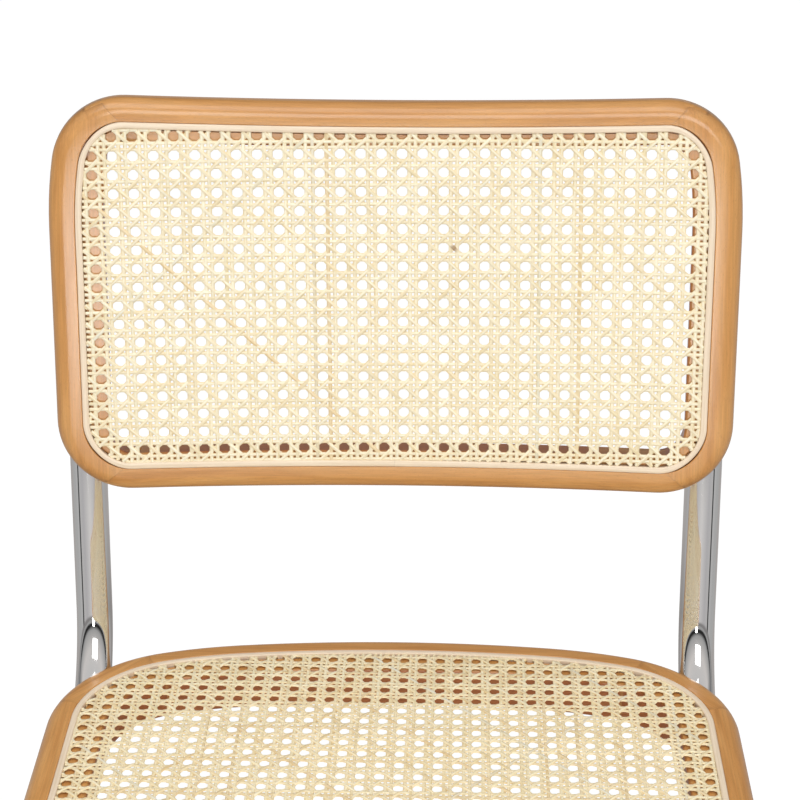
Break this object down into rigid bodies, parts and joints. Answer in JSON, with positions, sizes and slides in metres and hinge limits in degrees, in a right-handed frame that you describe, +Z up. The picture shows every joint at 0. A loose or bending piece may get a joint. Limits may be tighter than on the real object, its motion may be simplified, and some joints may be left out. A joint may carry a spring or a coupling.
{
  "type": "cane back cantilever dining chair",
  "caption": "Armless cantilever chair: one bent chromed tube carries a curved back and a seat, each a wooden frame filled with woven cane.",
  "frame": {"origin": "on the floor under the middle of the base", "axes": "+X to the viewer's right in the picture, which is the sitter's left; +Y to the rear; +Z up; the sitter faces -Y"},
  "size_m": [0.473, 0.5159, 0.842],
  "materials": {
    "chromed_tube": "polished chrome plate on steel tube",
    "beech": "honey-brown stain under satin lacquer, grain along each piece",
    "cane": "woven straw-coloured cane, dry and slightly glossy on the skin side",
    "reed": "pale round-edged reed, bare",
    "zinc": "bright zinc plate",
    "plug": "black moulded plastic, fine matt",
    "glide": "black moulded plastic, smooth"
  },
  "bodies": {
    "root": {"frame_tube": "chromed_tube", "plug_left": "plug", "plug_right": "plug", "back_top_rail": "beech", "back_bottom_rail": "beech", "back_left_stile": "beech", "back_right_stile": "beech", "back_cane": "cane", "back_spline": "reed", "seat_rear_rail": "beech", "seat_front_rail": "beech", "seat_left_rail": "beech", "seat_right_rail": "beech", "seat_rear_left_block": "beech", "seat_rear_right_block": "beech", "seat_front_left_block": "beech", "seat_front_right_block": "beech", "seat_cane": "cane", "seat_spline": "reed", "back_screw_upper_left": "zinc", "back_screw_upper_right": "zinc", "back_screw_lower_left": "zinc", "back_screw_lower_right": "zinc", "seat_screw_rear_left": "zinc", "glide_rear_left": "glide", "seat_screw_rear_right": "zinc", "glide_rear_right": "glide", "seat_screw_front_left": "zinc", "glide_front_left": "glide", "seat_screw_front_right": "zinc", "glide_front_right": "glide"}
  },
  "joints": []
}
